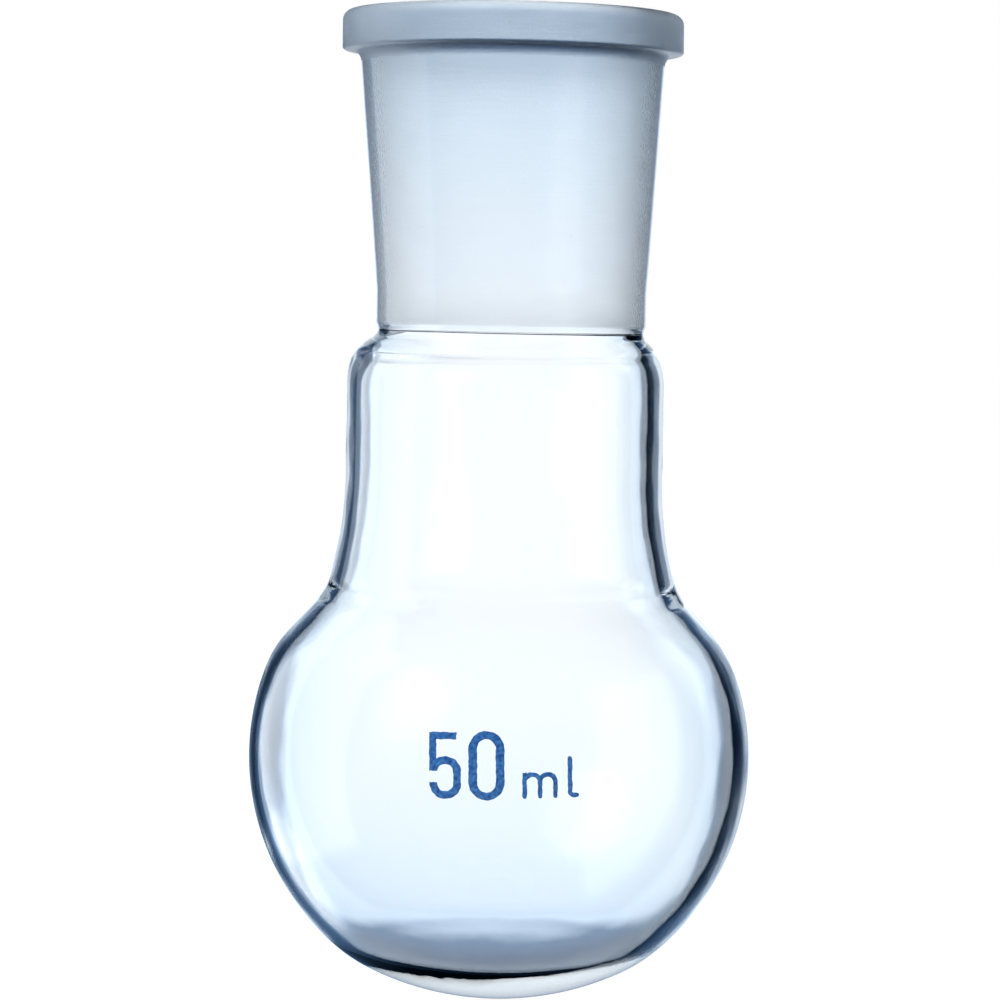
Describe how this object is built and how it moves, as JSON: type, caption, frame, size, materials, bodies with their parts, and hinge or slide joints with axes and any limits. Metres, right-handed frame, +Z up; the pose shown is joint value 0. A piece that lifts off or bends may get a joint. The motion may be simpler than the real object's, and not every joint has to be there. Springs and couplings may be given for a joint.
{
  "type": "round bottom flask",
  "caption": "Small clear borosilicate round bottom flask with a short wide neck and a frosted conical ground socket with a collar, for clamping in laboratory apparatus.",
  "frame": {"origin": "lowest point of the bulb, on the axis of revolution", "axes": "+Z up along the axis from the bulb to the open socket, -Y towards the printed capacity mark, +X to the right when facing the mark"},
  "size_m": [0.0518, 0.0519, 0.1018],
  "materials": {
    "clear_glass": "clear, fire polished",
    "ground_glass": "finely ground, matt and translucent",
    "blue_enamel": "fired-on blue glass enamel, satin"
  },
  "bodies": {
    "root": {"bulb": "clear_glass", "neck_weld": "clear_glass", "neck_tube": "clear_glass", "socket_weld": "clear_glass", "ground_socket": "ground_glass", "rim_collar": "ground_glass", "enamel_digit_5": "blue_enamel", "enamel_digit_0": "blue_enamel", "enamel_letter_m": "blue_enamel", "enamel_letter_l": "blue_enamel"}
  },
  "joints": []
}
